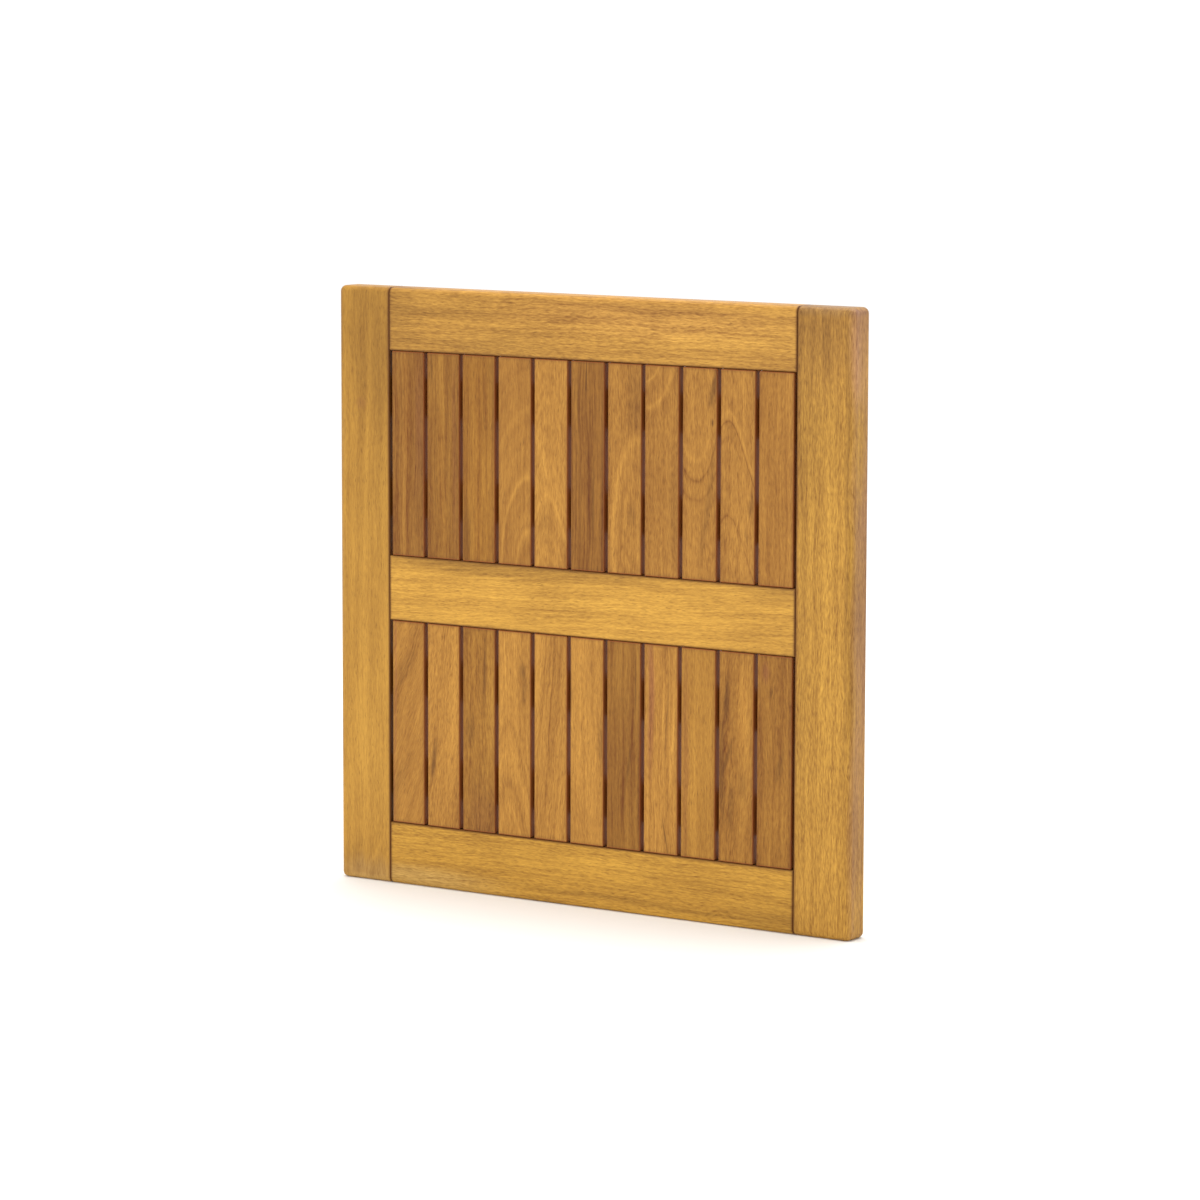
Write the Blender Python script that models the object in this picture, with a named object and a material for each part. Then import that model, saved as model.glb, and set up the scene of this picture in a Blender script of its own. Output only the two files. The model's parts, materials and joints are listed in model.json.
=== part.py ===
"""A slatted wooden bath mat, standing upright on one edge.

Two stiles and three rails form a square hardwood frame, joined with dowels.
Each of its two openings holds a row of thin slats. The slats lie on two
battens, whose ends are housed in the stiles. Rubber feet are screwed to the
underside.

The mat stands on the plane Z = 0. X runs across it from the left stile to the
right one, and +Y points from the slatted top side towards the underside.
"""
from math import cos, pi, sin

import bmesh
import bpy
from mathutils import Matrix, Vector

# Driving dimensions, in metres
MAT_WIDTH = 0.550
MAT_LENGTH = 0.550
FRAME_THICKNESS = 0.028
STILE_WIDTH = 0.057
END_RAIL_WIDTH = 0.0575
MIDDLE_RAIL_WIDTH = 0.060
OUTER_EDGE_RADIUS = 0.0055
RAIL_EDGE_RADIUS = 0.0018
JOINT_EDGE_RADIUS = 0.0008

SLAT_COUNT = 11
SLAT_THICKNESS = 0.010
SLAT_GAP = 0.0039
SLAT_SIDE_GAP = 0.0030
SLAT_END_GAP = 0.0006
SLAT_RECESS = 0.0004
SLAT_EDGE_RADIUS = 0.0010

BATTEN_WIDTH = 0.036
BATTEN_SETBACK = 0.0053
BATTEN_HOUSING = 0.010
OUTER_BATTEN_DISTANCE = 0.0425
INNER_BATTEN_DISTANCE = 0.0525
BATTEN_EDGE_RADIUS = 0.0010

DOWEL_DIAMETER = 0.010
DOWEL_DEPTH = 0.030
DOWEL_EDGE_DISTANCE = 0.0125
DOWEL_CHAMFER = 0.0012
DOWEL_END_ROOM = 0.001

FOOT_DIAMETER = 0.020
FOOT_HEIGHT = 0.0045
FOOT_TAPER = 0.001
FOOT_RIM_CHAMFER = 0.0005
FOOT_SEAT_THICKNESS = 0.0015
FOOT_BEYOND_RAIL = 0.0125

SCREW_HEAD_DIAMETER = 0.007
SCREW_HEAD_HEIGHT = 0.002
SCREW_SHANK_DIAMETER = 0.0035
SCREW_LENGTH = 0.014
SCREW_POINT = 0.003
RECESS_ROOM = 0.001

# Two pieces that touch keep this much room between them
FIT = 0.0003

FRAME_EDGE_SEGMENTS = 4
SMALL_EDGE_SEGMENTS = 2
ROUND_SIDES = 24
DOME_STEPS = 4
MERGE_DISTANCE = 0.000001
SMOOTH_ANGLE = 40 * pi / 180

# Sizes that follow from the ones above
OPENING_WIDTH = MAT_WIDTH - 2 * STILE_WIDTH
OPENING_LENGTH = (MAT_LENGTH - 2 * END_RAIL_WIDTH - MIDDLE_RAIL_WIDTH) / 2
TOP_FACE = -(FRAME_THICKNESS + FIT + FOOT_HEIGHT) / 2
UNDERSIDE = TOP_FACE + FRAME_THICKNESS
FRAME_MIDDLE = TOP_FACE + FRAME_THICKNESS / 2
STILE_OFFSET = (MAT_WIDTH - STILE_WIDTH) / 2
MAT_MIDDLE = MAT_LENGTH / 2

SLATS_WIDTH = OPENING_WIDTH - 2 * SLAT_SIDE_GAP - (SLAT_COUNT - 1) * SLAT_GAP
SLAT_WIDTH = SLATS_WIDTH / SLAT_COUNT
SLAT_FRONT = TOP_FACE + SLAT_RECESS
BATTEN_FRONT = SLAT_FRONT + SLAT_THICKNESS + FIT
BATTEN_BACK = UNDERSIDE - BATTEN_SETBACK
BATTEN_THICKNESS = BATTEN_BACK - BATTEN_FRONT
BATTEN_MIDDLE = (BATTEN_FRONT + BATTEN_BACK) / 2

# The faces of a board, as (axis, direction)
LEFT = (0, -1)
RIGHT = (0, 1)
BELOW = (2, -1)
ABOVE = (2, 1)
SIDES = {"left": -1, "right": 1}

# Base colour of each wood, from the palest golden boards to the darkest
GOLDEN = (0.60, 0.30, 0.070)
PALE = (0.52, 0.26, 0.060)
HONEY = (0.47, 0.23, 0.055)
BROWN = (0.38, 0.18, 0.045)
DARK = (0.31, 0.14, 0.038)
BEECH = (0.62, 0.42, 0.24)
BLACK_RUBBER = (0.020, 0.020, 0.021)
STEEL = (0.62, 0.61, 0.59)
OILED_ROUGHNESS = 0.42
SAWN_ROUGHNESS = 0.60
RUBBER_ROUGHNESS = 0.80
STEEL_ROUGHNESS = 0.30
UPPER_SLAT_WOODS = [DARK, BROWN, BROWN, HONEY, PALE, DARK, HONEY, HONEY, PALE, PALE, HONEY]
LOWER_SLAT_WOODS = [HONEY, PALE, BROWN, PALE, PALE, PALE, DARK, PALE, PALE, HONEY, BROWN]


def clear_scene():
    """Start from an empty scene."""
    for item in list(bpy.data.objects):
        bpy.data.objects.remove(item, do_unlink=True)


def material(name, colour, roughness, metallic=0.0):
    """A Principled material of one colour."""
    result = bpy.data.materials.new(name)
    result.use_nodes = True
    shader = result.node_tree.nodes["Principled BSDF"]
    shader.inputs["Base Color"].default_value = (*colour, 1.0)
    shader.inputs["Roughness"].default_value = roughness
    shader.inputs["Metallic"].default_value = metallic
    return result


def new_object(name, shape, location, surface=None):
    """Turn a bmesh into a placed object, shaded smooth across its gentle edges."""
    mesh = bpy.data.meshes.new(name)
    shape.to_mesh(mesh)
    shape.free()
    mesh.shade_smooth()
    mesh.set_sharp_from_angle(angle=SMOOTH_ANGLE)
    piece = bpy.data.objects.new(name, mesh)
    piece.location = location
    bpy.context.scene.collection.objects.link(piece)
    if surface:
        mesh.materials.append(surface)
    return piece


def box(size):
    """A bmesh box about the origin."""
    shape = bmesh.new()
    bmesh.ops.create_cube(shape, size=1.0, matrix=Matrix.Diagonal((*size, 1.0)))
    return shape


def board(name, size, location, surface, edge_radius, face_radius=None, segments=SMALL_EDGE_SEGMENTS):
    """A board with eased edges.

    Its edges have edge_radius, except round the faces listed in face_radius,
    where an edge takes the smallest radius of the listed faces that it bounds.
    """
    shape = box(size)
    weights = shape.edges.layers.float.new("bevel_weight_edge")
    for edge in shape.edges:
        middle = (edge.verts[0].co + edge.verts[1].co) / 2
        radii = [
            radius
            for (axis, direction), radius in (face_radius or {}).items()
            if middle[axis] * direction > 0
        ]
        edge[weights] = min(radii, default=edge_radius) / edge_radius
    piece = new_object(name, shape, location, surface)
    bevel = piece.modifiers.new("eased edges", "BEVEL")
    bevel.limit_method = "WEIGHT"
    bevel.width = edge_radius
    bevel.segments = segments
    return piece


def turned(name, profile, location, axis, surface=None, ring=False):
    """A solid of revolution from (radius, distance along the axis) points.

    An open profile starts and ends on the axis. A ring's profile is closed.
    """
    shape = bmesh.new()
    points = [shape.verts.new((radius, 0.0, distance)) for radius, distance in profile]
    pairs = list(zip(points, points[1:]))
    if ring:
        pairs.append((points[-1], points[0]))
    edges = [shape.edges.new(pair) for pair in pairs]
    bmesh.ops.spin(
        shape,
        geom=points + edges,
        cent=(0.0, 0.0, 0.0),
        axis=(0.0, 0.0, 1.0),
        angle=2 * pi,
        steps=ROUND_SIDES,
        use_merge=True,
    )
    bmesh.ops.remove_doubles(shape, verts=shape.verts, dist=MERGE_DISTANCE)
    bmesh.ops.recalc_face_normals(shape, faces=shape.faces)
    piece = new_object(name, shape, location, surface)
    piece.rotation_euler = Vector((0.0, 0.0, 1.0)).rotation_difference(Vector(axis)).to_euler()
    return piece


def dome(radius, height):
    """The profile of a domed head, from its top on the axis down to its rim."""
    steps = [pi / 2 * step / DOME_STEPS for step in range(DOME_STEPS + 1)]
    return [(radius * sin(angle), height * cos(angle)) for angle in steps]


def cut(piece, cutter):
    """Take the cutter's shape out of a piece."""
    cutter.hide_render = True
    cutter.display_type = "WIRE"
    boolean = piece.modifiers.new(cutter.name, "BOOLEAN")
    boolean.operation = "DIFFERENCE"
    boolean.solver = "EXACT"
    boolean.object = cutter


def round_cutter(name, radius, start, end, location, axis):
    """A plain cylinder along an axis, from one distance to another."""
    profile = [(0.0, start), (radius, start), (radius, end), (0.0, end)]
    return turned(name, profile, location, axis)


def make_frame(frame_wood):
    """The two stiles and three rails."""
    stile_size = (STILE_WIDTH, FRAME_THICKNESS, MAT_LENGTH)
    members = {}
    for side, direction in SIDES.items():
        joint_face = (0, -direction)
        members[side] = board(
            f"{side}_stile",
            stile_size,
            (direction * STILE_OFFSET, FRAME_MIDDLE, MAT_MIDDLE),
            frame_wood,
            OUTER_EDGE_RADIUS,
            {joint_face: JOINT_EDGE_RADIUS},
            FRAME_EDGE_SEGMENTS,
        )
    rails = {
        "bottom_rail": (END_RAIL_WIDTH, END_RAIL_WIDTH / 2, [ABOVE]),
        "middle_rail": (MIDDLE_RAIL_WIDTH, MAT_MIDDLE, [BELOW, ABOVE]),
        "top_rail": (END_RAIL_WIDTH, MAT_LENGTH - END_RAIL_WIDTH / 2, [BELOW]),
    }
    for name, (width, height, slat_faces) in rails.items():
        face_radius = {LEFT: JOINT_EDGE_RADIUS, RIGHT: JOINT_EDGE_RADIUS}
        face_radius.update({face: RAIL_EDGE_RADIUS for face in slat_faces})
        members[name] = board(
            name,
            (OPENING_WIDTH - 2 * FIT, FRAME_THICKNESS, width),
            (0.0, FRAME_MIDDLE, height),
            frame_wood,
            OUTER_EDGE_RADIUS,
            face_radius,
            FRAME_EDGE_SEGMENTS,
        )
    return members


def make_dowels(members, dowel_wood):
    """Two dowels in each joint between a rail and a stile, and the holes that hold them."""
    joints = {
        "bottom": (members["bottom_rail"], END_RAIL_WIDTH / 2, END_RAIL_WIDTH),
        "middle": (members["middle_rail"], MAT_MIDDLE, MIDDLE_RAIL_WIDTH),
        "top": (members["top_rail"], MAT_LENGTH - END_RAIL_WIDTH / 2, END_RAIL_WIDTH),
    }
    radius = DOWEL_DIAMETER / 2
    profile = [
        (0.0, -DOWEL_DEPTH),
        (radius - DOWEL_CHAMFER, -DOWEL_DEPTH),
        (radius, DOWEL_CHAMFER - DOWEL_DEPTH),
        (radius, DOWEL_DEPTH - DOWEL_CHAMFER),
        (radius - DOWEL_CHAMFER, DOWEL_DEPTH),
        (0.0, DOWEL_DEPTH),
    ]
    hole_depth = DOWEL_DEPTH + DOWEL_END_ROOM
    for level, (rail, height, width) in joints.items():
        reach = width / 2 - DOWEL_EDGE_DISTANCE
        for side, direction in SIDES.items():
            for place, offset in {"lower": -reach, "upper": reach}.items():
                name = f"{level}_{side}_dowel_{place}"
                location = (direction * OPENING_WIDTH / 2, FRAME_MIDDLE, height + offset)
                turned(name, profile, location, (1.0, 0.0, 0.0), dowel_wood)
                hole = round_cutter(
                    f"{name}_hole", radius + FIT, -hole_depth, hole_depth, location, (1.0, 0.0, 0.0)
                )
                cut(members[side], hole)
                cut(rail, hole)


def make_battens(members, batten_wood):
    """The four battens that carry the slats, and the mortises that hold their ends."""
    lower_row = END_RAIL_WIDTH
    upper_row = MAT_MIDDLE + MIDDLE_RAIL_WIDTH / 2
    heights = {
        "lower_outer_batten": lower_row + OUTER_BATTEN_DISTANCE,
        "lower_inner_batten": lower_row + OPENING_LENGTH - INNER_BATTEN_DISTANCE,
        "upper_inner_batten": upper_row + INNER_BATTEN_DISTANCE,
        "upper_outer_batten": upper_row + OPENING_LENGTH - OUTER_BATTEN_DISTANCE,
    }
    length = OPENING_WIDTH + 2 * (BATTEN_HOUSING - FIT)
    mortise_size = (2 * BATTEN_HOUSING, BATTEN_THICKNESS + 2 * FIT, BATTEN_WIDTH + 2 * FIT)
    for name, height in heights.items():
        board(
            name,
            (length, BATTEN_THICKNESS, BATTEN_WIDTH),
            (0.0, BATTEN_MIDDLE, height),
            batten_wood,
            BATTEN_EDGE_RADIUS,
        )
        for side, direction in SIDES.items():
            location = (direction * OPENING_WIDTH / 2, BATTEN_MIDDLE, height)
            cut(members[side], new_object(f"{name}_{side}_mortise", box(mortise_size), location))


def make_slats():
    """Two rows of slats, each slat with its own piece of wood."""
    row_centres = {
        "lower": (END_RAIL_WIDTH + OPENING_LENGTH / 2, LOWER_SLAT_WOODS),
        "upper": (MAT_LENGTH - END_RAIL_WIDTH - OPENING_LENGTH / 2, UPPER_SLAT_WOODS),
    }
    size = (SLAT_WIDTH, SLAT_THICKNESS, OPENING_LENGTH - 2 * SLAT_END_GAP)
    first = -OPENING_WIDTH / 2 + SLAT_SIDE_GAP + SLAT_WIDTH / 2
    for row, (height, woods) in row_centres.items():
        for index in range(SLAT_COUNT):
            name = f"{row}_slat_{index + 1:02d}"
            across = first + index * (SLAT_WIDTH + SLAT_GAP)
            board(
                name,
                size,
                (across, SLAT_FRONT + SLAT_THICKNESS / 2, height),
                material(f"{name}_wood", woods[index % len(woods)], OILED_ROUGHNESS),
                SLAT_EDGE_RADIUS,
            )


def make_feet(members, rubber, steel):
    """Three rubber feet along each stile, each held by a screw whose head lies below its face."""
    from_end = END_RAIL_WIDTH + FOOT_BEYOND_RAIL
    heights = {"bottom": from_end, "middle": MAT_MIDDLE, "top": MAT_LENGTH - from_end}
    radius = FOOT_DIAMETER / 2
    hole = SCREW_SHANK_DIAMETER / 2 + FIT
    recess = SCREW_HEAD_DIAMETER / 2 + RECESS_ROOM
    rim = radius - FOOT_TAPER
    foot_profile = [
        (hole, 0.0),
        (radius, 0.0),
        (rim, FOOT_HEIGHT - FOOT_RIM_CHAMFER),
        (rim - FOOT_RIM_CHAMFER, FOOT_HEIGHT),
        (recess, FOOT_HEIGHT),
        (recess, FOOT_SEAT_THICKNESS),
        (hole, FOOT_SEAT_THICKNESS),
    ]
    shank = SCREW_SHANK_DIAMETER / 2
    screw_profile = dome(SCREW_HEAD_DIAMETER / 2, SCREW_HEAD_HEIGHT) + [
        (shank, 0.0),
        (shank, SCREW_POINT - SCREW_LENGTH),
        (0.0, -SCREW_LENGTH),
    ]
    outwards = (0.0, 1.0, 0.0)
    for side, direction in SIDES.items():
        for level, height in heights.items():
            name = f"{level}_{side}_foot"
            base = (direction * STILE_OFFSET, UNDERSIDE + FIT, height)
            turned(name, foot_profile, base, outwards, rubber, ring=True)
            seat = (base[0], base[1] + FOOT_SEAT_THICKNESS + FIT, height)
            turned(f"{name}_screw", screw_profile, seat, outwards, steel)
            pilot = round_cutter(
                f"{name}_pilot_hole", hole, -SCREW_LENGTH - FIT, 0.0, seat, outwards
            )
            cut(members[side], pilot)


def main():
    clear_scene()
    members = make_frame(material("frame_wood", GOLDEN, OILED_ROUGHNESS))
    make_dowels(members, material("dowel_wood", BEECH, SAWN_ROUGHNESS))
    make_battens(members, material("batten_wood", BROWN, SAWN_ROUGHNESS))
    make_slats()
    make_feet(
        members,
        material("foot_rubber", BLACK_RUBBER, RUBBER_ROUGHNESS),
        material("screw_steel", STEEL, STEEL_ROUGHNESS, metallic=1.0),
    )


main()
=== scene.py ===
"""The finished look of the slatted bath mat.

Every board is planed from its own block, eased along its edges and drilled for
its dowels and screws. Each has a solid hardwood material whose rings, fibres
and pores run through it, so the faces, edges and end grain agree.
"""
import json
from dataclasses import dataclass
from math import pi, radians, sin

import bmesh
import bpy
from mathutils import Euler, Matrix, Vector


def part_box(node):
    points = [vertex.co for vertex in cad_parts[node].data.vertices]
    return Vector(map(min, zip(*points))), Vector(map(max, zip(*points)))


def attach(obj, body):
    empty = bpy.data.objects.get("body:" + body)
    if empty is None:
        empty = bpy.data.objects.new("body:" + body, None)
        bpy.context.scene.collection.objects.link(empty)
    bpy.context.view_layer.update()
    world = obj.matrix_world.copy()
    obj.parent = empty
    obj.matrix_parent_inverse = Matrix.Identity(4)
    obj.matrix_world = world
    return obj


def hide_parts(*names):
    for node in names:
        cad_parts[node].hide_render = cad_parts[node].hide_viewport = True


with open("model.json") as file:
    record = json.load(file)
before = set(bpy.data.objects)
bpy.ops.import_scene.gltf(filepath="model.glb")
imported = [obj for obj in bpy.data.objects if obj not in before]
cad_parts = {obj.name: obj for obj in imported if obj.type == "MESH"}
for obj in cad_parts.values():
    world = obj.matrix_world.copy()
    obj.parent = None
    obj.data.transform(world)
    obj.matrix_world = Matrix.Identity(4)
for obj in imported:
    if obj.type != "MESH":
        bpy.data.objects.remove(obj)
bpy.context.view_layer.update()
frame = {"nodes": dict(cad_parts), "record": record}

# ---------------------------------------------------------------- sizes, in metres
OUTER_RADIUS = 0.0055
RAIL_RADIUS = 0.0018
JOINT_RADIUS = 0.0008
SLAT_RADIUS = 0.0010
SLAT_UNEVENNESS = 0.00015
UNEVENNESS_TURN = 2.4
SLAT_END_FIT = 0.00045
BATTEN_RADIUS = 0.0010
OUTER_SEGMENTS = 8
RAIL_SEGMENTS = 4
SMALL_SEGMENTS = 3
LONG_EDGE = 0.1
EPSILON = 0.00001

FIT = 0.0003
OVERCUT = 0.001
DOWEL_END_ROOM = 0.001
PILOT_RADIUS = 0.0028
ROUND_SIDES = 48

SLAT_SCREW_HEAD = 0.0062
SLAT_SCREW_SHANK = 0.0028
SLAT_SCREW_LENGTH = 0.0180
COUNTERSINK_DEPTH = 0.0019
HEAD_SETBACK = 0.0003
SLAT_CROSS_DEPTH = 0.0012
SLAT_CROSS_SPAN = 0.6
SMALL_SIDES = 24
SCREW_TURN = 1.1

PAN_HEAD_HEIGHT = 0.0020
PAN_HEAD_DOME = 0.0012
PAN_SHANK = 0.0035
PAN_CROSS_DEPTH = 0.0012
PAN_CROSS_SPAN = 1.1
DOME_SEGMENTS = 6
SCREW_POINT = 0.003
TIP_TAPER = 0.1
CROSS_THICKNESS = 0.11
CROSS_TAPER = 0.55

FOOT_TAPER = 0.0010
FOOT_RIM_RADIUS = 0.0005
FOOT_SEAT = 0.0015
FOOT_HOLE = 0.0041
RECESS_ROOM = 0.0010
RECESS_DRAFT = 0.0001

SMOOTH_ANGLE = radians(35)
FLAT_FACE_WEIGHT = 100

# ---------------------------------------------------------------- camera and light
CAMERA_AIM = Vector((0.002, 0.002, 0.2775))
CAMERA_DISTANCE = 4.271
CAMERA_AZIMUTH = radians(33.863)
CAMERA_ELEVATION = radians(7.323)
CAMERA_ROLL = radians(0.143)
CAMERA_LENS = 143.26
SKY_STRENGTH = 1.16
FLOOR_CENTRE = Vector((0.0, 0.0, 0.15))
FLOOR_SIZE = 30.0
FLOOR_TONES = ((0.88, 0.88, 0.88, 1.0), (0.90, 0.90, 0.90, 1.0))
# Painted shadow: a darker cream on the floor near the mat, fading to white between these distances
# from its middle
FLOOR_SHADOW_CREAM = (0.86, 0.85, 0.82, 1.0)
SHADOW_CREAM_REACH = (0.3, 1.2)
SOFTBOXES = {
    "front_softbox": (Vector((-0.4, -2.4, 0.8)), 1.6, 15.5),
    "overhead_softbox": (Vector((-0.1, 0.25, 2.3)), 1.3, 34.0),
}

SIDES = {"left": -1, "right": 1}
LEVELS = ("bottom", "middle", "top")
RAILS = ("bottom_rail", "middle_rail", "top_rail")
BATTENS = (
    "lower_outer_batten",
    "lower_inner_batten",
    "upper_inner_batten",
    "upper_outer_batten",
)
ROWS = ("upper", "lower")
SLATS_IN_ROW = 11


# ================================================================ modelling tools
def pick(piece=None):
    """Select nothing, or one piece alone, and make it the active one."""
    bpy.ops.object.select_all(action="DESELECT")
    if piece:
        piece.select_set(True)
        bpy.context.view_layer.objects.active = piece


def settle(piece):
    """Put the piece's place, turn and scale into its mesh."""
    pick(piece)
    bpy.ops.object.transform_apply(location=True, rotation=True, scale=True)
    return piece


def start_block(name, low, high):
    """A block between two corners, to be planed into a board."""
    pick()
    bpy.ops.mesh.primitive_cube_add(size=1.0, location=(low + high) / 2, scale=high - low)
    block = bpy.context.object
    block.name = name
    block.data.name = name
    return settle(block)


def start_round(name, radius, start, end, sides=ROUND_SIDES):
    """A round bar from one point to another."""
    along = end - start
    pick()
    bpy.ops.mesh.primitive_cylinder_add(
        vertices=sides,
        radius=radius,
        depth=along.length,
        location=(start + end) / 2,
        rotation=along.to_track_quat("Z", "Y").to_euler(),
    )
    bar = bpy.context.object
    bar.name = name
    bar.data.name = name
    return settle(bar)


def choose(piece, kind, test):
    """In edit mode, select only the edges or faces for which test is true."""
    pick(piece)
    bpy.ops.object.mode_set(mode="EDIT")
    bpy.ops.mesh.select_mode(type=kind)
    bpy.ops.mesh.select_all(action="DESELECT")
    mesh = bmesh.from_edit_mesh(piece.data)
    for part in mesh.edges if kind == "EDGE" else mesh.faces:
        if test(part):
            part.select_set(True)
    bmesh.update_edit_mesh(piece.data)


def leave_edit():
    bpy.ops.object.mode_set(mode="OBJECT")


def lies_on(part, axis, value):
    """Whether all of an edge or a face lies on the plane where one coordinate has a value."""
    return all(abs(vertex.co[axis] - value) < EPSILON for vertex in part.verts)


def ease(piece, test, radius, segments):
    """Round the chosen edges."""
    choose(piece, "EDGE", test)
    bpy.ops.mesh.bevel(offset=radius, segments=segments, profile=0.5, affect="EDGES")
    leave_edit()


def apply_modifiers(piece):
    pick(piece)
    for modifier in list(piece.modifiers):
        bpy.ops.object.modifier_apply(modifier=modifier.name)


def cut(piece, cutters):
    """Cut each cutter's shape out of the piece."""
    for cutter in cutters:
        hole = piece.modifiers.new("hole", "BOOLEAN")
        hole.operation = "DIFFERENCE"
        hole.solver = "EXACT"
        hole.object = cutter
    apply_modifiers(piece)


def throw_away(cutters):
    for cutter in cutters:
        mesh = cutter.data
        bpy.data.objects.remove(cutter, do_unlink=True)
        bpy.data.meshes.remove(mesh)


def polish(piece):
    """Smooth the rounded edges and keep the wide faces flat in shading."""
    pick(piece)
    bpy.ops.object.shade_smooth_by_angle(angle=SMOOTH_ANGLE)
    weighted = piece.modifiers.new("flat faces", "WEIGHTED_NORMAL")
    weighted.keep_sharp = True
    weighted.weight = FLAT_FACE_WEIGHT
    apply_modifiers(piece)


def copy_to(pattern, name, place, turn=0.0):
    """A copy with its own mesh, turned about its Y axis and moved to its place."""
    copy = pattern.copy()
    copy.data = pattern.data.copy()
    copy.name = name
    copy.data.name = name
    bpy.context.scene.collection.objects.link(copy)
    copy.rotation_euler = (0.0, turn, 0.0)
    copy.location = place
    return settle(copy)


def middle_of(node):
    low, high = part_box(node)
    return (low + high) / 2


def slat_nodes(row):
    return [f"{row}_slat_{index + 1:02d}" for index in range(SLATS_IN_ROW)]


def fit_piece(piece, material, slot, *nodes):
    """Give a finished piece its material and body, and hide the drawn parts it stands for. Its slot
    is not used.
    """
    piece.data.materials.clear()
    piece.data.materials.append(material)
    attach(piece, "root")
    if nodes:
        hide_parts(*nodes)


# ================================================================ shading tools
class Tone:
    """A number, colour or vector that varies over a surface. Arithmetic adds Math nodes."""

    def __init__(self, finish, socket):
        self.finish = finish
        self.socket = socket

    def math(self, operation, *others):
        sockets = {0: self}
        sockets.update({index + 1: other for index, other in enumerate(others)})
        return self.finish.add("ShaderNodeMath", {"operation": operation}, sockets)

    def __add__(self, other):
        return self.math("ADD", other)

    __radd__ = __add__

    def __sub__(self, other):
        return self.math("SUBTRACT", other)

    def __rsub__(self, other):
        return self.finish.add("ShaderNodeMath", {"operation": "SUBTRACT"}, {0: other, 1: self})

    def __mul__(self, other):
        return self.math("MULTIPLY", other)

    __rmul__ = __mul__

    def __truediv__(self, other):
        return self.math("DIVIDE", other)

    def __rtruediv__(self, other):
        return self.finish.add("ShaderNodeMath", {"operation": "DIVIDE"}, {0: other, 1: self})

    def __pow__(self, other):
        return self.math("POWER", other)

    def part(self, index):
        """One coordinate of a vector."""
        return self.finish.add("ShaderNodeSeparateXYZ", {}, {0: self}, index)

    def step(self, start, end):
        """0 below start, 1 above end, and a smooth rise between them."""
        settings = {"interpolation_type": "SMOOTHSTEP"}
        return self.finish.add("ShaderNodeMapRange", settings, {0: self, 1: start, 2: end})


class Finish:
    """One material's node tree, round its Principled shader."""

    def __init__(self, name):
        self.material = bpy.data.materials.new(name)
        self.material.use_nodes = True
        self.tree = self.material.node_tree
        self.shader = self.tree.nodes["Principled BSDF"]

    def plug(self, target, value):
        if isinstance(value, Tone):
            self.tree.links.new(value.socket, target)
        else:
            target.default_value = value

    def add(self, kind, settings=None, sockets=None, output=0):
        """Any node: its type, its settings, and the values or links of its sockets."""
        node = self.tree.nodes.new(kind)
        for key, value in (settings or {}).items():
            setattr(node, key, value)
        for key, value in (sockets or {}).items():
            self.plug(node.inputs[key], value)
        return Tone(self, node.outputs[output])

    def set(self, **values):
        """Values or links of the shader's own sockets, such as base_color."""
        for key, value in values.items():
            self.plug(self.shader.inputs[key.replace("_", " ").title()], value)

    def mix(self, amount, first, second, how="MIX"):
        """A colour between two others."""
        settings = {"data_type": "RGBA", "blend_type": how, "clamp_factor": False}
        return self.add("ShaderNodeMix", settings, {0: amount, 6: first, 7: second}, 2)

    def noise(self, place, scale, detail=2.0, roughness=0.5, seed=0.0):
        """Noise whose grains have the size of 1 / scale along each axis."""
        stretched = self.add(
            "ShaderNodeVectorMath", {"operation": "MULTIPLY"}, {0: place, 1: scale}
        )
        sockets = {
            "Vector": stretched,
            "W": seed,
            "Scale": 1.0,
            "Detail": detail,
            "Roughness": roughness,
        }
        return self.add("ShaderNodeTexNoise", {"noise_dimensions": "4D"}, sockets)

    def bump(self, height, distance, strength):
        sockets = {"Height": height, "Distance": distance, "Strength": strength}
        return self.add("ShaderNodeBump", {}, sockets)


# ================================================================ wood
@dataclass
class Wood:
    """How one board was sawn and how its wood looks. Lengths are from the board's middle.

    pale is its tone, from 0, dark brown, to 1, pale gold. The growth rings lie
    round a heart, placed across, behind and along the board. They close over it
    by spread[0] and taper past it by spread[1]. Each vein is a ring's distance
    from the heart, its width, and how much paler it is, or darker below 0. Each
    mark has its place across and along the board, its width, length, slant and
    strength, again paler above 0. A blush is a pinker mark. The greyer, bluer marks
    are painted light: sheen and floor light on rounded edges.
    tint is how much more or less red, green and blue the whole board is.
    """

    pale: float
    seed: float
    heart: tuple = (0.030, 0.060, -0.200)
    spread: tuple = (0.06, 0.0)
    rings: float = 0.006
    figure: float = 0.16
    slant: float = 0.0
    fleck: float = 1.0
    thread: float = 1.0
    dash: float = 0.15
    ribbon: float = 1.0
    cloud: float = 1.0
    wave: float = 0.0015
    veins: tuple = ()
    marks: tuple = ()
    blushes: tuple = ()
    sheens: tuple = ()
    tint: tuple = (1.0, 1.0, 1.0)


SLAT_TONES = ((0.215, 0.0835, 0.0124, 1.0), (0.403, 0.190, 0.0324, 1.0))
FRAME_TONES = ((0.210, 0.088, 0.013, 1.0), (0.470, 0.243, 0.038, 1.0))
PORE_BROWN = (0.090, 0.034, 0.008, 1.0)
DARKER = (0.42, 0.37, 0.40, 1.0)
PALER = (1.90, 2.10, 2.20, 1.0)
PINKER = (0.78, 0.62, 1.30, 1.0)
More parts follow.
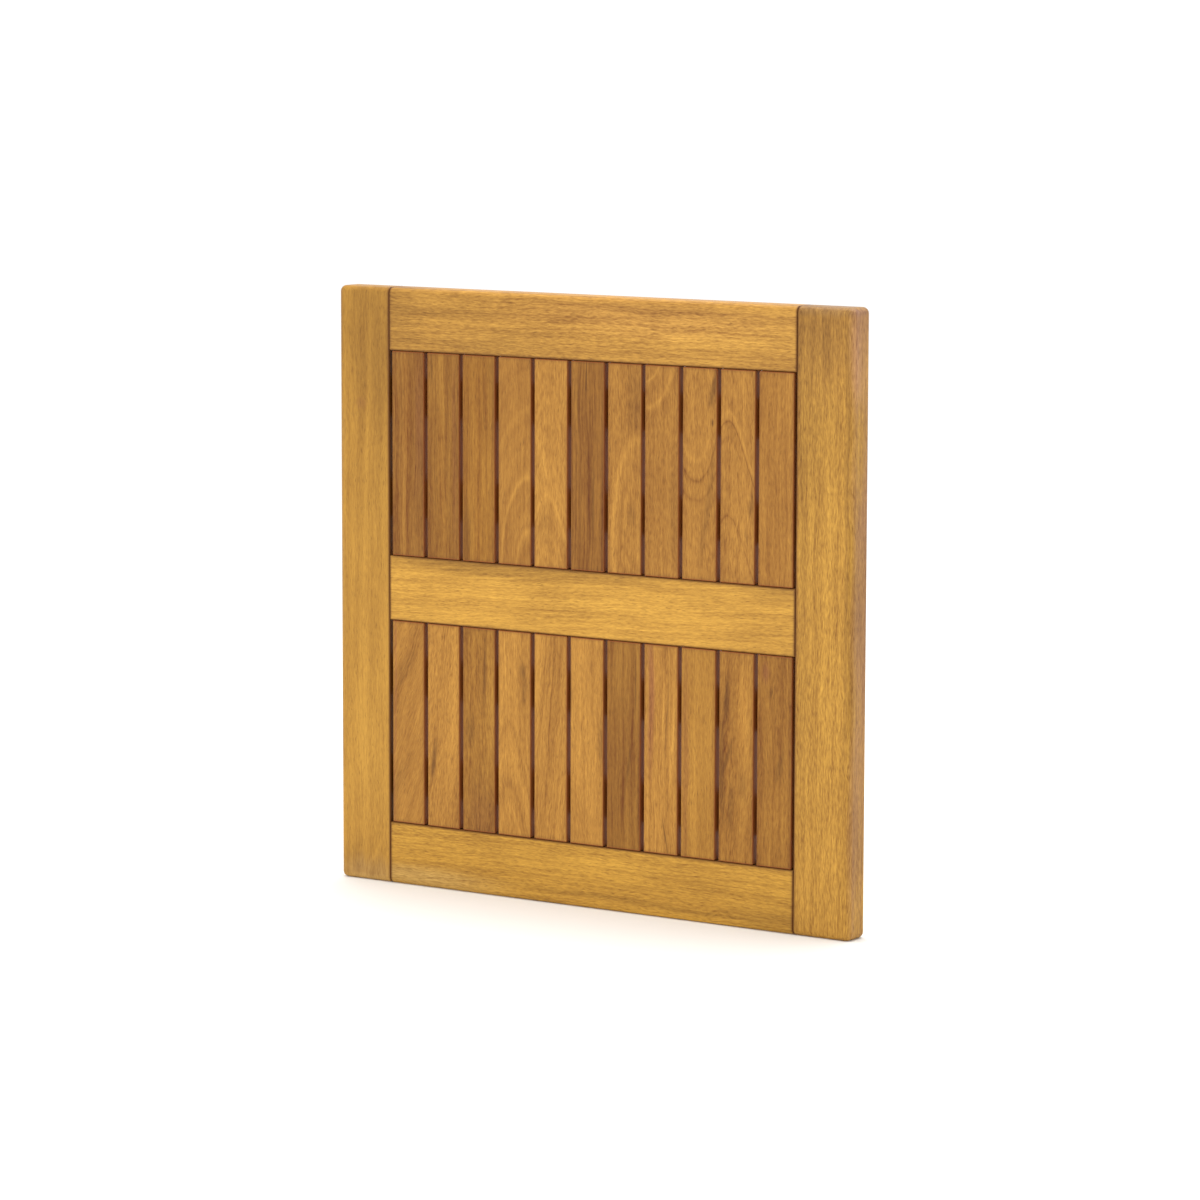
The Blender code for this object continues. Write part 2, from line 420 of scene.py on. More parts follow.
# Painted light: the greyer, bluer colour of sheen and floor light on rounded edges
SHEEN_GREY = (0.75, 1.05, 3.50, 1.0)
BEECH_TONES = ((0.36, 0.22, 0.11, 1.0), (0.52, 0.35, 0.19, 1.0))
RUBBER_TONES = ((0.018, 0.017, 0.016, 1.0), (0.034, 0.032, 0.030, 1.0))
DUST_GREY = (0.085, 0.080, 0.074, 1.0)
SCUFF_GREY = (0.13, 0.12, 0.11, 1.0)
STEEL_TONES = ((0.46, 0.45, 0.43, 1.0), (0.64, 0.63, 0.61, 1.0))
DULL_ZINC = (0.30, 0.27, 0.22, 1.0)
# Dark reds painted into the seams as shade: the frame's joints, and the sides of the slats in the
# gaps
SEAM_SHADE_RED = (0.100, 0.029, 0.004, 1.0)
SLAT_GAP_SHADE_RED = (0.240, 0.066, 0.015, 1.0)

# A seam's painted shade: its dark red colour, how far that reaches, and how dark the painted shade
# on the rim beside it is
FRAME_SEAM_SHADE = (SEAM_SHADE_RED, 0.0020, 0.55)
SLAT_SEAM_SHADE = (SLAT_GAP_SHADE_RED, 0.0009, 0.30)
SEAM_SHADE_START = 0.0001
SEAM_SHADE_STRENGTH = 0.85
SEAM_SHADE_RIM = 0.0035
ALL_ROUND = ((0, 1), (0, -1), (1, 1), (1, -1))

UPRIGHT = Euler((0.0, 0.0, 0.0))
LEVEL = Euler((0.0, -pi / 2, 0.0))

# Each grain's scale across, behind and along the board, its detail, roughness and seed
GRAINS = {
    "sway": ((30.0, 30.0, 9.0), 1.0, 0.5, 3.1),
    "curl": ((160.0, 160.0, 55.0), 1.0, 0.5, 5.7),
    "ribbon": ((120.0, 120.0, 3.0), 3.0, 0.55, 11.9),
    "cloud": ((26.0, 26.0, 9.0), 2.0, 0.5, 17.3),
    "thread": ((480.0, 480.0, 12.0), 2.0, 0.6, 29.0),
    "fleck": ((950.0, 950.0, 150.0), 2.0, 0.5, 23.0),
    "dash": ((760.0, 760.0, 90.0), 1.0, 0.5, 37.0),
    "pore": ((1500.0, 1500.0, 150.0), 1.0, 0.5, 31.0),
}
DASH_EDGE = (0.58, 0.70)
PORE_EDGE = (0.60, 0.74)
PORE_STRENGTH = 0.45

LEAN_BY_SWAY = 0.008
LEAN_BY_CURL = 2.5
DEPTH_BY_CURL = 0.002
RING_BY_SWAY = 0.006
RING_BY_CURL = 0.0012
MARK_BY_SWAY = 0.012
MARK_BY_RIBBON = 0.9
MARK_EDGE = (0.1, 1.2)

RIBBON_TONE = 1.1
CLOUD_TONE = 0.9
THREAD_TONE = 1.1
FLECK_TONE = 1.7
OILED_ROUGHNESS = 0.46
ROUGHER_BY_GRAIN = 0.15
OILED_SHINE = 0.17
HEIGHT_BY_FLECK = 0.5
HEIGHT_BY_THREAD = 0.6
HEIGHT_BY_PORE = 0.6
WOOD_RELIEF = (0.0002, 0.4)
BATTEN_PALE = 0.2
BATTEN_SEED = 60.0
BATTEN_DULLNESS = 0.12


class Board:
    """The grain of one board: its coordinates, its fibres and its rings."""

    def __init__(self, finish, node, turn, wood):
        low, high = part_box(node)
        self.finish = finish
        self.wood = wood
        place = finish.add("ShaderNodeTexCoord", output="Object")
        location = -(turn.to_matrix() @ middle_of(node))
        sockets = {"Vector": place, "Rotation": turn, "Location": location}
        self.fibre = finish.add("ShaderNodeMapping", {}, sockets)
        self.across, self.deep, self.along = (self.fibre.part(index) for index in range(3))
        reach = (high - low) / 2
        self.reach = (reach.x, reach.z) if turn == UPRIGHT else (reach.z, reach.x)

        # The fibres wander and lean as they climb
        self.sway = self.grain("sway", self.fibre) - 0.5
        self.curl = self.grain("curl", self.fibre) - 0.5
        straight = self.across - self.along * wood.slant
        leaning = straight + self.sway * LEAN_BY_SWAY + self.curl * (wood.wave * LEAN_BY_CURL)
        sockets = {0: leaning, 1: self.deep + self.curl * DEPTH_BY_CURL, 2: self.along}
        wandering = finish.add("ShaderNodeCombineXYZ", {}, sockets)
        self.ribbon = self.grain("ribbon", wandering) - 0.5
        self.cloud = self.grain("cloud", self.fibre) - 0.5
        self.thread = self.grain("thread", wandering) - 0.5
        self.fleck = self.grain("fleck", wandering) - 0.5
        self.dash = self.grain("dash", wandering).step(*DASH_EDGE)
        self.pore = self.grain("pore", wandering).step(*PORE_EDGE)

    def grain(self, kind, place):
        """One kind of noise, from 0 to 1."""
        scale, detail, roughness, seed = GRAINS[kind]
        return self.finish.noise(place, scale, detail, roughness, self.wood.seed + seed)

    def ring(self):
        """How far each point is from the heart, in ring order."""
        wood = self.wood
        aside = self.across + self.sway * RING_BY_SWAY - wood.heart[0]
        behind = self.deep - wood.heart[1]
        above = self.along - wood.heart[2]
        over = above * wood.spread[0]
        distance = (aside * aside + behind * behind + over * over) ** 0.5
        return distance + above * wood.spread[1] + self.curl * RING_BY_CURL

    def tone(self):
        """How pale the wood is, with some of its growth rings standing out as veins."""
        wood = self.wood
        ring = self.ring()
        band = (ring / wood.rings).math("PINGPONG", 0.5) * 2 - 0.5
        tone = (
            wood.pale
            + band * wood.figure
            + self.ribbon * (wood.ribbon * RIBBON_TONE)
            + self.cloud * (wood.cloud * CLOUD_TONE)
            + self.thread * (wood.thread * THREAD_TONE)
            + self.fleck * (wood.fleck * FLECK_TONE)
            - self.dash * wood.dash
        )
        for distance, width, strength in wood.veins:
            offset = (ring - distance) / width
            tone = tone + strength / (offset * offset + 1)
        return tone

    def add_marks(self, colour, marks, own_colour=None):
        """Colour the wood where it has marks: stains of its own, and in places painted light. A
        mark is paler or darker unless it is given a colour of its own.
        """
        for side, height, width, length, slant, strength in marks:
            above = self.along - height
            aside = self.across + self.sway * MARK_BY_SWAY - side - above * slant
            reach_across = aside / width
            reach_along = above / length
            reach = (reach_across * reach_across + reach_along * reach_along) ** 0.5
            amount = 1 - (reach + self.ribbon * MARK_BY_RIBBON).step(*MARK_EDGE)
            stain_or_painted_light = own_colour or (PALER if strength > 0 else DARKER)
            colour = self.finish.mix(amount * abs(strength), colour, stain_or_painted_light, "MULTIPLY")
        return colour

    def add_seam_shade(self, colour, seams, seam_shade):
        """Paint shade into the seams: darken and redden the wood along the edges that meet another
        board, where the joints and the gaps between slats fall into shade.
        """
        near = None
        for axis, direction in seams:
            inside = self.reach[axis] - (self.across, self.along)[axis] * direction
            near = near.math("MINIMUM", inside) if near else inside
        if near:
            stain_or_painted_light, shade_reach, rim = seam_shade
            shade = (1 - near.step(0.0, SEAM_SHADE_RIM)) * rim
            amount = (1 - near.step(SEAM_SHADE_START, shade_reach)) * SEAM_SHADE_STRENGTH
            colour = self.finish.mix(shade, colour, DARKER, "MULTIPLY")
            colour = self.finish.mix(amount, colour, stain_or_painted_light)
        return colour


def hardwood(node, turn, tones, wood, seams, seam_shade=FRAME_SEAM_SHADE, dull=0.0):
    """Oiled hardwood: rings round a heart, ribbons, fibres, pores and marks, all solid.

    tones are its darkest and its palest colour. seams are the board's edges that
    meet another board, across it or along it, each with its direction.
    """
    finish = Finish(f"{node}_wood")
    board = Board(finish, node, turn, wood)
    colour = finish.mix(board.tone(), *tones)
    colour = finish.mix(1.0, colour, (*wood.tint, 1.0), "MULTIPLY")
    colour = finish.mix(board.pore * PORE_STRENGTH, colour, PORE_BROWN)
    colour = board.add_marks(colour, wood.marks)
    colour = board.add_marks(colour, wood.blushes, PINKER)
    # Painted light: greyer, bluer marks for the sheen and floor light on rounded edges
    colour = board.add_marks(colour, wood.sheens, SHEEN_GREY)
    height = board.fleck * HEIGHT_BY_FLECK + board.thread * HEIGHT_BY_THREAD
    height = height - board.pore * HEIGHT_BY_PORE
    rougher = board.fleck * ROUGHER_BY_GRAIN
    finish.set(
        # Painted shade: the seams are darkened and reddened where joints and gaps fall into shade
        base_color=board.add_seam_shade(colour, seams, seam_shade),
        roughness=OILED_ROUGHNESS + dull + rougher + board.pore * ROUGHER_BY_GRAIN,
        normal=finish.bump(height, *WOOD_RELIEF),
    )
    finish.shader.inputs["Specular IOR Level"].default_value = OILED_SHINE
    return finish.material


# ================================================================ boards
def make_stiles(holes):
    for side, direction in SIDES.items():
        node = f"{side}_stile"
        low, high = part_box(node)
        inner = low.x if direction > 0 else high.x
        board = start_block(f"{node}_board", low, high)
        ease(board, lambda edge: not lies_on(edge, 0, inner), OUTER_RADIUS, OUTER_SEGMENTS)
        ease(board, lambda edge: lies_on(edge, 0, inner), JOINT_RADIUS, SMALL_SEGMENTS)
        cut(board, holes[side])
        polish(board)
        material = hardwood(node, UPRIGHT, FRAME_TONES, FRAME_WOODS[node], ((0, -direction),))
        fit_piece(board, material, "frame_wood", node)


def is_long(edge):
    """Whether an edge runs along a rail."""
    return abs(edge.verts[0].co.x - edge.verts[1].co.x) > LONG_EDGE


def make_rails(holes):
    for node in RAILS:
        low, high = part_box(node)
        board = start_block(f"{node}_board", low, high)
        seams = [(1, 1), (1, -1)]
        outer_height = {"bottom_rail": low.z, "top_rail": high.z}.get(node)
        for height, direction in ((low.z, 1), (high.z, -1)):
            is_outer = height == outer_height
            radius = OUTER_RADIUS if is_outer else RAIL_RADIUS
            segments = OUTER_SEGMENTS if is_outer else RAIL_SEGMENTS
            ease(board, lambda edge: lies_on(edge, 2, height) and is_long(edge), radius, segments)
            if not is_outer:
                seams.append((0, direction))
        for end in (low.x, high.x):
            ease(board, lambda edge: lies_on(edge, 0, end), JOINT_RADIUS, SMALL_SEGMENTS)
        cut(board, holes[node])
        polish(board)
        material = hardwood(node, LEVEL, FRAME_TONES, FRAME_WOODS[node], seams)
        fit_piece(board, material, "frame_wood", node)


def make_holes():
    """Cutters for the dowels, the battens' ends and the feet's screws, by the board they cut."""
    holes = {name: [] for name in (*SIDES, *RAILS)}
    for level, rail in zip(LEVELS, RAILS):
        for side in SIDES:
            for place in ("lower", "upper"):
                node = f"{level}_{side}_dowel_{place}"
                low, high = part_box(node)
                middle = middle_of(node)
                radius = (high.z - low.z) / 2 + FIT
                reach = Vector(((high.x - low.x) / 2 + DOWEL_END_ROOM, 0.0, 0.0))
                hole = start_round(f"{node}_hole", radius, middle - reach, middle + reach)
                holes[side].append(hole)
                holes[rail].append(hole)
    room = Vector((FIT, FIT, FIT))
    for node in BATTENS:
        low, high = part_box(node)
        mortise = start_block(f"{node}_mortise", low - room, high + room)
        for side in SIDES:
            holes[side].append(mortise)
    for level in LEVELS:
        for side in SIDES:
            node = f"{level}_{side}_foot_screw"
            low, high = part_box(node)
            middle = middle_of(node)
            start = Vector((middle.x, low.y - FIT, middle.z))
            end = Vector((middle.x, high.y, middle.z))
            hole = start_round(f"{level}_{side}_pilot", PILOT_RADIUS, start, end)
            holes[side].append(hole)
    return holes


def make_slats():
    """One slat modelled for each row and copied along it, each copy in its own wood."""
    slots = {part["node"]: part["material_slot"] for part in frame["record"]["subparts"]}
    for row in ROWS:
        nodes = slat_nodes(row)
        low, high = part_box(nodes[0])
        reach = (high - low) / 2 + Vector((0.0, 0.0, SLAT_END_FIT))
        pattern = start_block(f"{row}_slat", -reach, reach)
        ease(pattern, lambda edge: True, SLAT_RADIUS, SMALL_SEGMENTS)
        polish(pattern)
        for node, wood in zip(nodes, SLAT_WOODS[row]):
            depth = Vector((0.0, SLAT_UNEVENNESS * sin(wood.seed * UNEVENNESS_TURN), 0.0))
            board = copy_to(pattern, f"{node}_board", middle_of(node) + depth)
            material = hardwood(node, UPRIGHT, SLAT_TONES, wood, ALL_ROUND, SLAT_SEAM_SHADE)
            fit_piece(board, material, slots[node], node)
        throw_away([pattern])


def screw_heads(batten):
    """The middle of each slat screw's head, along the back of one batten."""
    row = batten.split("_")[0]
    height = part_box(batten)[1].y - HEAD_SETBACK
    return [Vector((middle_of(node).x, height, middle_of(batten).z)) for node in slat_nodes(row)]


def countersinks(batten):
    """Cutters for the countersunk holes in one batten's back."""
    cutters = []
    for head in screw_heads(batten):
        bottom = head - Vector((0.0, COUNTERSINK_DEPTH, 0.0))
        rim = head + Vector((0.0, HEAD_SETBACK * 2, 0.0))
        cone = start_round("countersink", SLAT_SCREW_HEAD / 2 + FIT, bottom, rim, SMALL_SIDES)
        turned_face(cone, bottom.y)
        neck = SLAT_SCREW_SHANK / SLAT_SCREW_HEAD
        bpy.ops.transform.resize(value=(neck, 1.0, neck))
        leave_edit()
        cutters.append(cone)
    return cutters


def make_battens():
    """One batten modelled with its countersinks, and copied to the other places."""
    first = BATTENS[0]
    pattern = start_block("batten", *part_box(first))
    ease(pattern, lambda edge: True, BATTEN_RADIUS, SMALL_SEGMENTS)
    sinks = countersinks(first)
    cut(pattern, sinks)
    throw_away(sinks)
    polish(pattern)
    for index, node in enumerate(BATTENS):
        board = copy_to(pattern, f"{node}_board", middle_of(node) - middle_of(first))
        wood = Wood(BATTEN_PALE, BATTEN_SEED + index)
        material = hardwood(node, LEVEL, SLAT_TONES, wood, (), dull=BATTEN_DULLNESS)
        fit_piece(board, material, "batten_wood", node)
    throw_away([pattern])


# ================================================================ feet and screws
def turned_face(piece, height):
    """In edit mode on a part turned round Y, select the end face at one height."""
    choose(piece, "FACE", lambda face: lies_on(face, 1, height))


def at_height(height):
    """A point on the Y axis, which the feet and the screws are turned round."""
    return Vector((0.0, height, 0.0))


def narrow_face(share):
    bpy.ops.transform.resize(value=(share, 1.0, share))


def draw_out(height):
    """Extrude the selected face along Y."""
    bpy.ops.mesh.extrude_region_move(TRANSFORM_OT_translate={"value": (0.0, height, 0.0)})


def cut_cross(screw, height, width, depth):
    """Cut a cross recess into a screw's head with two crossing blades."""
    blades = []
    for turn in (0.0, pi / 2):
        reach = Vector((width / 2, depth, width * CROSS_THICKNESS))
        blade = start_block("cross_blade", -reach, reach)
        turned_face(blade, -depth)
        narrow_face(CROSS_TAPER)
        leave_edit()
        blade.rotation_euler = (0.0, turn, 0.0)
        blade.location = at_height(height)
        blades.append(settle(blade))
    cut(screw, blades)
    throw_away(blades)


def make_foot(radius, height, recess):
    """A tapered rubber foot with a recess for its screw, turned from a round blank."""
    foot = start_round("foot", radius, at_height(0.0), at_height(height))
    rim = radius - FOOT_TAPER
    turned_face(foot, height)
    narrow_face(rim / radius)
    bpy.ops.mesh.inset(thickness=rim - recess)
    bpy.ops.mesh.inset(thickness=RECESS_DRAFT)
    bpy.ops.transform.translate(value=at_height(FOOT_SEAT - height))
    leave_edit()
    top = at_height(height)

    def on_rim(edge):
        return all((vertex.co - top).length > rim - EPSILON for vertex in edge.verts)

    ease(
        foot,
        lambda edge: lies_on(edge, 1, height) and on_rim(edge),
        FOOT_RIM_RADIUS,
        SMALL_SEGMENTS,
    )
    ends = at_height(-OVERCUT), at_height(FOOT_SEAT + OVERCUT)
    shank = start_round("foot_hole", FOOT_HOLE / 2, *ends)
    cut(foot, [shank])
    throw_away([shank])
    polish(foot)
    return foot


def make_pan_screw(head_radius, length):
    """A pan-head screw, its top at the origin: a domed head, a cross recess and a point."""
    screw = start_round("foot_screw", head_radius, at_height(-PAN_HEAD_HEIGHT), at_height(0.0))
    ease(screw, lambda edge: lies_on(edge, 1, 0.0), PAN_HEAD_DOME, DOME_SEGMENTS)
    turned_face(screw, -PAN_HEAD_HEIGHT)
    bpy.ops.mesh.inset(thickness=head_radius - PAN_SHANK / 2)
    draw_out(PAN_HEAD_HEIGHT + SCREW_POINT - length)
    draw_out(-SCREW_POINT)
    narrow_face(TIP_TAPER)
    leave_edit()
    cut_cross(screw, 0.0, head_radius * PAN_CROSS_SPAN, PAN_CROSS_DEPTH)
    polish(screw)
    return screw


def make_slat_screw():
    """A countersunk screw, its head's face at the origin."""
    ends = at_height(-COUNTERSINK_DEPTH), at_height(0.0)
    screw = start_round("slat_screw", SLAT_SCREW_HEAD / 2, *ends, SMALL_SIDES)
    turned_face(screw, -COUNTERSINK_DEPTH)
    narrow_face(SLAT_SCREW_SHANK / SLAT_SCREW_HEAD)
    draw_out(COUNTERSINK_DEPTH + SCREW_POINT - SLAT_SCREW_LENGTH)
    draw_out(-SCREW_POINT)
    narrow_face(TIP_TAPER)
    leave_edit()
    cut_cross(screw, 0.0, SLAT_SCREW_HEAD * SLAT_CROSS_SPAN, SLAT_CROSS_DEPTH)
    polish(screw)
    return screw


def place_slat_screws(material):
    """Screws through the battens into the slats, each at its own turn."""
    pattern = make_slat_screw()
    for batten in BATTENS:
        for index, head in enumerate(screw_heads(batten)):
            name = f"{batten}_screw_{index + 1:02d}"
            screw = copy_to(pattern, name, head, SCREW_TURN * (index + 1))
            fit_piece(screw, material, "screw_steel")
    throw_away([pattern])


def place_feet(foot_material, screw_material):
    """One foot and its screw modelled, and copied to their places on the stiles."""
    low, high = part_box("bottom_left_foot")
    screw_low, screw_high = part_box("bottom_left_foot_screw")
    head_radius = (screw_high.x - screw_low.x) / 2
    foot_pattern = make_foot((high.x - low.x) / 2, high.y - low.y, head_radius + RECESS_ROOM)
    screw_pattern = make_pan_screw(head_radius, screw_high.y - screw_low.y)
    for level in LEVELS:
        for side in SIDES:
            node = f"{level}_{side}_foot"
            middle = middle_of(node)
            foot = copy_to(foot_pattern, f"{node}_turned", Vector((middle.x, low.y, middle.z)))
            fit_piece(foot, foot_material, "foot_rubber", node)
            place = Vector((middle.x, screw_high.y, middle.z))
            screw = copy_to(screw_pattern, f"{node}_screw_turned", place)
            fit_piece(screw, screw_material, "screw_steel", f"{node}_screw")
    throw_away([foot_pattern, screw_pattern])


# ================================================================ other materials
def beech():
    """Pale, plain wood with fine fibres along X, for the dowels."""
    finish = Finish("dowel_beech")
    place = finish.add("ShaderNodeTexCoord", output="Object")
    fibre = finish.noise(place, (30.0, 900.0, 900.0), 3.0)
    speck = finish.noise(place, (260.0, 1700.0, 1700.0), 2.0, seed=5.0).step(0.58, 0.72)
    colour = finish.mix(fibre, *BEECH_TONES)
    finish.set(
        base_color=finish.mix(speck * 0.4, colour, PORE_BROWN),
        roughness=0.55 + fibre * 0.15,
        normal=finish.bump(fibre - speck * 0.5, 0.0002, 0.3),
    )
    return finish.material


def finish_dowels():
    """Give the dowels, kept as they were drawn, their beech."""
    material = beech()
    for name, dowel in frame["nodes"].items():
        if "_dowel_" in name:
            for slot in dowel.material_slots:
                slot.material = material


def rubber():
    """Dark rubber, faintly mottled and scuffed, with a bloom of dust."""
    finish = Finish("foot_rubber")
    place = finish.add("ShaderNodeTexCoord", output="Object")
    grain = finish.noise(place, (1800.0, 1800.0, 1800.0), 3.0)
    bloom = finish.noise(place, (160.0, 160.0, 160.0), 3.0).step(0.42, 0.70)
    scuff = finish.noise(place, (90.0, 900.0, 500.0), 3.0, seed=4.0).step(0.58, 0.72)
    colour = finish.mix(bloom * 0.35, finish.mix(grain, *RUBBER_TONES), DUST_GREY)
    finish.set(
        base_color=finish.mix(scuff * 0.3, colour, SCUFF_GREY),
        roughness=0.62 + bloom * 0.15 + grain * 0.1,
        normal=finish.bump(grain + scuff * 0.5, 0.0002, 0.3),
    )
    return finish.material


def steel():
    """Zinc-plated steel with a soft mottle, fine turning marks and dull spots."""
    finish = Finish("screw_steel")
    place = finish.add("ShaderNodeTexCoord", output="Object")
    mottle = finish.noise(place, (700.0, 700.0, 700.0), 3.0)
    turning = finish.noise(place, (300.0, 6000.0, 300.0), 2.0, seed=2.0)
    dull = finish.noise(place, (260.0, 260.0, 260.0), 2.0, seed=7.0).step(0.52, 0.68)
    colour = finish.mix(mottle, *STEEL_TONES)
    finish.set(
        base_color=finish.mix(dull * 0.45, colour, DULL_ZINC),
        metallic=1 - dull * 0.25,
        roughness=0.30 + mottle * 0.14 + dull * 0.2,
        normal=finish.bump(turning + mottle * 0.5, 0.0001, 0.25),
    )
    return finish.material


# ================================================================ scene
def make_camera():
    data = bpy.data.cameras.new("camera")
    data.lens = CAMERA_LENS
    camera = bpy.data.objects.new("camera", data)
    bpy.context.scene.collection.objects.link(camera)
    turn = Euler((pi / 2 - CAMERA_ELEVATION, 0.0, CAMERA_AZIMUTH)).to_matrix()
    turn = turn @ Matrix.Rotation(CAMERA_ROLL, 3, "Z")
    back = turn @ Vector((0.0, 0.0, CAMERA_DISTANCE))
    camera.matrix_world = Matrix.Translation(CAMERA_AIM + back) @ turn.to_4x4()
    bpy.context.scene.camera = camera


def make_floor():
    pick()
    bpy.ops.mesh.primitive_plane_add(size=FLOOR_SIZE)
    floor = bpy.context.object
    floor.name = "pale_floor"
    finish = Finish("pale_floor")
    place = finish.add("ShaderNodeTexCoord", output="Object")
    mottle = finish.noise(place, (3.0, 3.0, 3.0), 3.0)
    white = finish.mix(mottle, *FLOOR_TONES)
    # Painted shadow: the floor is a darker cream near the mat and white further away
    aside, behind = place.part(0), place.part(1)
    away = (aside * aside + behind * behind) ** 0.5
    finish.set(
        base_color=finish.mix(away.step(*SHADOW_CREAM_REACH), FLOOR_SHADOW_CREAM, white),
        roughness=0.7 + mottle * 0.1,
    )
    floor.data.materials.append(finish.material)


def make_light():
    scene = bpy.context.scene
    scene.view_settings.view_transform = "Standard"
    world = bpy.data.worlds.new("studio")
    world.use_nodes = True
    sky = world.node_tree.nodes["Background"]
    sky.inputs["Color"].default_value = (1.0, 1.0, 1.0, 1.0)
    sky.inputs["Strength"].default_value = SKY_STRENGTH
    scene.world = world
    for name, (place, width, power) in SOFTBOXES.items():
        lamp = bpy.data.lights.new(name, "AREA")
        lamp.shape = "SQUARE"
        lamp.size = width
        lamp.energy = power
        softbox = bpy.data.objects.new(name, lamp)
        scene.collection.objects.link(softbox)
        softbox.location = place
        softbox.rotation_euler = (place - FLOOR_CENTRE).to_track_quat("Z", "Y").to_euler()


FRAME_WOODS = {
    "left_stile": Wood(
        0.66, 1.0, ribbon=0.5, fleck=0.5, thread=0.6, cloud=0.9, tint=(0.99, 0.99, 0.98),
        marks=(
            # Painted light: a paler band on the bottom round-over, lit from the floor
            (0.0, -0.2745, 0.060, 0.006, 0.0, 0.36),
            (0.012, -0.250, 0.003, 0.020, 0.5, 0.15),
            (0.000, 0.240, 0.050, 0.100, 0.0, -0.32),
            (0.004, 0.080, 0.022, 0.070, 0.0, -0.12),
            (0.022, 0.160, 0.012, 0.180, 0.0, -0.14),
            (0.000, -0.180, 0.018, 0.120, 0.0, 0.13),
            (-0.010, -0.250, 0.022, 0.020, 0.5, -0.14),
        ),
        blushes=((-0.004, 0.168, 0.008, 0.006, 0.0, 0.3),),
        # Painted light: floor light on the bottom end and sheen on the outer round-over
        sheens=((0.0, -0.270, 0.060, 0.020, 0.0, 0.30), (-0.027, 0.100, 0.005, 0.300, 0.0, 0.12)),
    ),
    "right_stile": Wood(
        0.68, 2.0, fleck=1.1, thread=1.2, dash=0.22, ribbon=0.50, cloud=0.8, wave=0.0015,
        marks=(
            (0.0, 0.270, 0.060, 0.060, 0.0, -0.34),
            (-0.010, 0.210, 0.034, 0.120, 0.0, -0.28),
            (-0.024, 0.020, 0.014, 0.400, 0.0, -0.14),
            (0.008, -0.090, 0.014, 0.250, 0.0, 0.14),
            (0.0220, 0.080, 0.0036, 0.300, 0.0, -0.36),
            (0.031, 0.240, 0.007, 0.090, 0.0, 0.42),
            (0.031, -0.250, 0.007, 0.060, 0.0, 0.15),
        ),
        blushes=(
            (0.0310, 0.120, 0.0060, 0.500, 0.0, 0.60),
            (0.0, 0.260, 0.060, 0.080, 0.0, 0.16),
        ),
        # Painted reflection: a greyer, bluer sheen along the side face and the top end
        sheens=((0.031, 0.120, 0.007, 0.500, 0.0, 0.28), (0.0, 0.276, 0.060, 0.010, 0.0, 0.30)),
    ),
    "top_rail": Wood(
        0.72, 3.0, fleck=1.1, thread=1.3, dash=0.18, ribbon=0.7, wave=0.001, tint=(1.0, 0.99, 1.12),
        marks=(
            (-0.010, -0.225, 0.070, 0.060, 0.0, -0.46),
            (0.018, -0.110, 0.018, 0.100, 0.0, -0.34),
            (-0.012, -0.150, 0.016, 0.070, 0.0, -0.26),
            (-0.002, 0.080, 0.018, 0.160, 0.0, 0.26),
            (0.030, 0.020, 0.010, 0.070, 0.0, -0.14),
        ),
        blushes=((-0.014, 0.060, 0.020, 0.180, 0.0, 0.16),),
    ),
    "middle_rail": Wood(
        0.97, 4.0, slant=-0.04, ribbon=0.9, fleck=0.9, thread=1.3, dash=0.2, wave=0.0008,
        marks=(
            (-0.022, -0.143, 0.0015, 0.024, -0.05, -0.6),
            (-0.029, -0.080, 0.018, 0.160, 0.0, -0.58),
            (-0.029, 0.215, 0.018, 0.060, 0.0, -0.48),
            (0.024, -0.170, 0.014, 0.060, 0.0, -0.16),
            (-0.002, 0.050, 0.014, 0.130, 0.0, 0.10),
        ),
    ),
    "bottom_rail": Wood(
        0.77, 5.0, fleck=0.9, thread=1.2, dash=0.28, ribbon=0.7, wave=0.0012,
        tint=(1.01, 1.02, 0.90),
        marks=(
            (0.018, 0.03, 0.0025, 0.18, 0.02, -0.30),
            (-0.010, -0.04, 0.010, 0.16, 0.0, 0.08),
            # Painted light: a paler band along the bottom round-over, lit from the floor
            (0.0290, 0.0, 0.0045, 0.60, 0.0, 0.24),
            (-0.018, 0.070, 0.014, 0.050, 0.0, 0.16),
            (-0.018, -0.180, 0.014, 0.060, 0.0, 0.12),
            (0.020, 0.200, 0.020, 0.060, 0.0, -0.32),
            (0.022, -0.195, 0.014, 0.090, 0.0, 0.05),
        ),
        # Painted light: greyer floor light on the lower left end
        sheens=((0.020, -0.195, 0.013, 0.120, 0.0, 0.34),),
    ),
}

